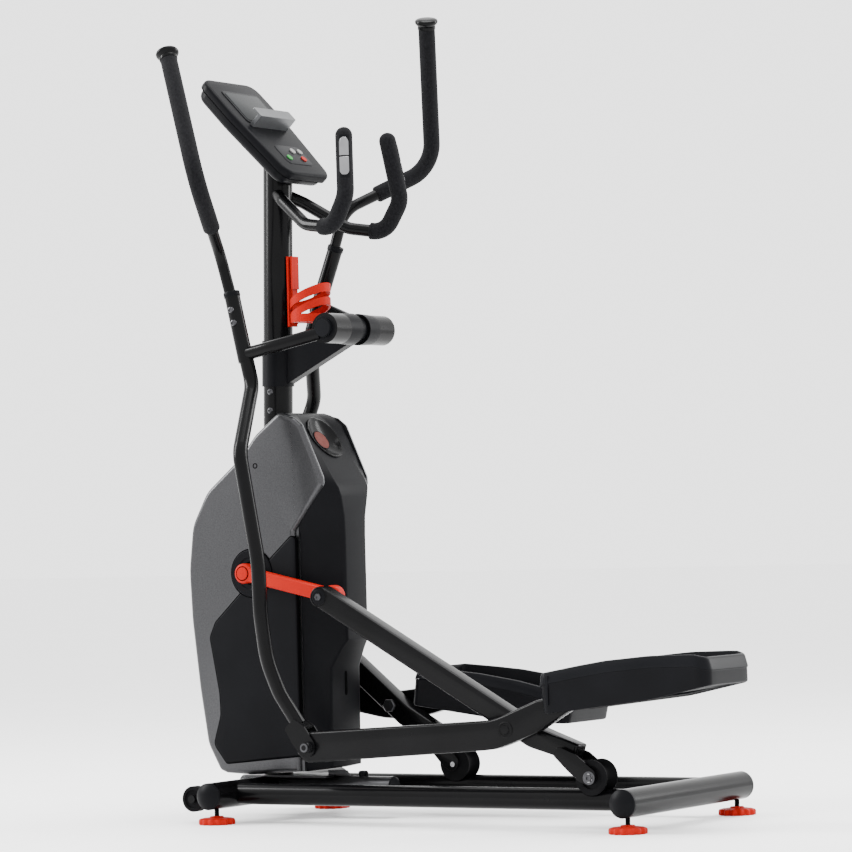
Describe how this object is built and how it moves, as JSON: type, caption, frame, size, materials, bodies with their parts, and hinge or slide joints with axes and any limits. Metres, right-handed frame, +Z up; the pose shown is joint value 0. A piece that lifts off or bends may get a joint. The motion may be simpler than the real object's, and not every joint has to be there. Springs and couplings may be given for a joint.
{
  "type": "elliptical trainer",
  "caption": "Front drive elliptical trainer with a covered flywheel, foot pedals on roller legs, coupled swing arms, a fixed handlebar and a console.",
  "frame": {"origin": "middle of the footprint, at the floor", "axes": "+Z up, +X from the drive casing towards the rear cross tube, where the user steps on, +Y to the user's right when facing the console"},
  "size_m": [1.3774, 0.5882, 1.613],
  "materials": {
    "cast_iron": "machined cast iron",
    "charcoal_plastic": "dark charcoal, finely textured",
    "chrome": "bright chrome",
    "display_glass": "gloss dark window",
    "foam": "matt closed cell foam",
    "gloss_black_tube": "glossy black enamel",
    "green_key": "satin green",
    "grey_metallic": "metallic grey lacquer with a soft sheen",
    "red_key": "satin red",
    "red_metal": "satin red powder coat",
    "red_plastic": "satin red",
    "roller_rubber": "smooth polyurethane",
    "steel": "zinc plated, brushed",
    "white_key": "satin white"
  },
  "bodies": {
    "frame": {"front_stabilizer": "gloss_black_tube", "rear_stabilizer": "gloss_black_tube", "stabilizer_end_caps": "charcoal_plastic", "left_rail": "gloss_black_tube", "right_rail": "gloss_black_tube", "base_spine": "grey_metallic", "mast_lower": "gloss_black_tube", "mast_upper": "gloss_black_tube", "frame_bolts": "steel", "pivot_bracket": "charcoal_plastic", "pivot_shaft": "steel", "fixed_handlebar": "gloss_black_tube", "fixed_handlebar_grips": "foam", "pulse_sensors": "chrome", "bottle_holder": "red_plastic", "left_casing": "grey_metallic", "right_casing": "grey_metallic", "casing_side_inserts": "charcoal_plastic", "rear_cover": "charcoal_plastic", "rear_medallion": "red_plastic", "brake_magnet": "steel", "idler_bracket": "steel", "drive_belt": "roller_rubber", "console_front_shell": "charcoal_plastic", "console_rear_shell": "charcoal_plastic", "display": "display_glass", "media_shelf": "grey_metallic"},
    "crank": {"crank_shaft": "steel", "drive_pulley": "charcoal_plastic", "left_crank_arm": "red_metal", "right_crank_arm": "red_metal"},
    "flywheel": {"flywheel": "cast_iron", "flywheel_shaft": "steel"},
    "idler": {"idler_wheel": "charcoal_plastic"},
    "left_carrier": {"left_wheel_axle": "steel"},
    "left_rail_roller": {"left_rail_wheel": "roller_rubber"},
    "left_roller_link": {"left_roller_leg": "gloss_black_tube"},
    "left_arm": {"left_swing_arm": "gloss_black_tube", "left_upper_handlebar": "gloss_black_tube", "left_hand_grip": "foam"},
    "left_foot_link": {"left_foot_leg": "gloss_black_tube", "left_pedal": "charcoal_plastic"},
    "left_cart_wheel": {"left_transport_wheel": "roller_rubber"},
    "left_front_leveller": {"left_front_foot": "red_plastic"},
    "left_rear_leveller": {"left_rear_foot": "red_plastic"},
    "right_carrier": {"right_wheel_axle": "steel"},
    "right_rail_roller": {"right_rail_wheel": "roller_rubber"},
    "right_roller_link": {"right_roller_leg": "gloss_black_tube"},
    "right_arm": {"right_swing_arm": "gloss_black_tube", "right_upper_handlebar": "gloss_black_tube", "right_hand_grip": "foam"},
    "right_foot_link": {"right_foot_leg": "gloss_black_tube", "right_pedal": "charcoal_plastic"},
    "right_cart_wheel": {"right_transport_wheel": "roller_rubber"},
    "right_front_leveller": {"right_front_foot": "red_plastic"},
    "right_rear_leveller": {"right_rear_foot": "red_plastic"},
    "start_key_cap": {"start_key": "green_key"},
    "stop_key_cap": {"stop_key": "red_key"},
    "up_key_cap": {"up_key": "white_key"},
    "down_key_cap": {"down_key": "white_key"}
  },
  "joints": [
    {"name": "crank_spin", "type": "hinge", "parent": "frame", "child": "crank", "pos_m": [-0.39885, 0, 0.4918], "axis": [0, -1, 0], "range_deg": [0, 180]},
    {"name": "flywheel_spin", "type": "hinge", "parent": "frame", "child": "flywheel", "pos_m": [-0.41485, 0, 0.246], "axis": [0, -1, 0], "continuous": true},
    {"name": "idler_spin", "type": "hinge", "parent": "frame", "child": "idler", "pos_m": [-0.32685, 0, 0.318], "axis": [0, -1, 0], "continuous": true},
    {"name": "left_roller_travel", "type": "slide", "parent": "frame", "child": "left_carrier", "axis": [1, 0, 0], "range_m": [-0.48147, 0]},
    {"name": "left_roller_spin", "type": "hinge", "parent": "left_carrier", "child": "left_rail_roller", "pos_m": [0.40821, -0.154, 0.0988], "axis": [0, 1, 0], "continuous": true},
    {"name": "left_leg_swing", "type": "hinge", "parent": "left_carrier", "child": "left_roller_link", "pos_m": [0.40821, -0.154, 0.0988], "axis": [0, -1, 0], "range_deg": [-9.78, 0]},
    {"name": "left_arm_swing", "type": "hinge", "parent": "frame", "child": "left_arm", "pos_m": [-0.20095, -0.065, 0.9727], "axis": [0, -1, 0], "range_deg": [-34.07, 0]},
    {"name": "left_foot_swing", "type": "hinge", "parent": "left_arm", "child": "left_foot_link", "pos_m": [-0.20043, -0.1915, 0.1528], "axis": [0, -1, 0], "range_deg": [0, 19.44]},
    {"name": "left_transport_spin", "type": "hinge", "parent": "frame", "child": "left_cart_wheel", "pos_m": [-0.48085, -0.19, 0.048], "axis": [0, 1, 0], "continuous": true},
    {"name": "left_front_levelling", "type": "slide", "parent": "frame", "child": "left_front_leveller", "axis": [0, 0, -1], "range_m": [0, 0.012]},
    {"name": "left_rear_levelling", "type": "slide", "parent": "frame", "child": "left_rear_leveller", "axis": [0, 0, -1], "range_m": [0, 0.012]},
    {"name": "right_roller_travel", "type": "slide", "parent": "frame", "child": "right_carrier", "axis": [1, 0, 0], "range_m": [0, 0.48147]},
    {"name": "right_roller_spin", "type": "hinge", "parent": "right_carrier", "child": "right_rail_roller", "pos_m": [-0.07276, 0.154, 0.0988], "axis": [0, 1, 0], "continuous": true},
    {"name": "right_leg_swing", "type": "hinge", "parent": "right_carrier", "child": "right_roller_link", "pos_m": [-0.07276, 0.154, 0.0988], "axis": [0, -1, 0], "range_deg": [0, 9.78]},
    {"name": "right_arm_swing", "type": "hinge", "parent": "frame", "child": "right_arm", "pos_m": [-0.20095, 0.065, 0.9727], "axis": [0, -1, 0], "range_deg": [0, 34.07]},
    {"name": "right_foot_swing", "type": "hinge", "parent": "right_arm", "child": "right_foot_link", "pos_m": [-0.65869, 0.1915, 0.29247], "axis": [0, -1, 0], "range_deg": [-19.44, 0]},
    {"name": "right_transport_spin", "type": "hinge", "parent": "frame", "child": "right_cart_wheel", "pos_m": [-0.48085, 0.19, 0.048], "axis": [0, 1, 0], "continuous": true},
    {"name": "right_front_levelling", "type": "slide", "parent": "frame", "child": "right_front_leveller", "axis": [0, 0, -1], "range_m": [0, 0.012]},
    {"name": "right_rear_levelling", "type": "slide", "parent": "frame", "child": "right_rear_leveller", "axis": [0, 0, -1], "range_m": [0, 0.012]},
    {"name": "start_key_press", "type": "slide", "parent": "frame", "child": "start_key_cap", "axis": [-0.7218, 0, -0.6921], "range_m": [0, 0.0015], "stiffness_N_per_m": 900},
    {"name": "stop_key_press", "type": "slide", "parent": "frame", "child": "stop_key_cap", "axis": [-0.7218, 0, -0.6921], "range_m": [0, 0.0015], "stiffness_N_per_m": 900},
    {"name": "up_key_press", "type": "slide", "parent": "frame", "child": "up_key_cap", "axis": [-0.7218, 0, -0.6921], "range_m": [0, 0.0015], "stiffness_N_per_m": 900},
    {"name": "down_key_press", "type": "slide", "parent": "frame", "child": "down_key_cap", "axis": [-0.7218, 0, -0.6921], "range_m": [0, 0.0015], "stiffness_N_per_m": 900}
  ],
  "couplings": [
    {"joint": "flywheel_spin", "follows": "crank_spin", "ratio": 5.6818},
    {"joint": "idler_spin", "follows": "crank_spin", "ratio": -7.8125},
    {"joint": "left_roller_travel", "follows": "crank_spin", "m_per_rad": -0.1531},
    {"joint": "left_roller_spin", "follows": "crank_spin", "ratio": -7.0716},
    {"joint": "left_leg_swing", "follows": "crank_spin", "ratio": -0.053756},
    {"joint": "left_arm_swing", "follows": "crank_spin", "ratio": -0.18874},
    {"joint": "left_foot_swing", "follows": "crank_spin", "ratio": 0.10747},
    {"joint": "right_roller_travel", "follows": "crank_spin", "m_per_rad": 0.1531},
    {"joint": "right_roller_spin", "follows": "crank_spin", "ratio": 7.0716},
    {"joint": "right_leg_swing", "follows": "crank_spin", "ratio": 0.053756},
    {"joint": "right_arm_swing", "follows": "crank_spin", "ratio": 0.18874},
    {"joint": "right_foot_swing", "follows": "crank_spin", "ratio": -0.10747}
  ]
}
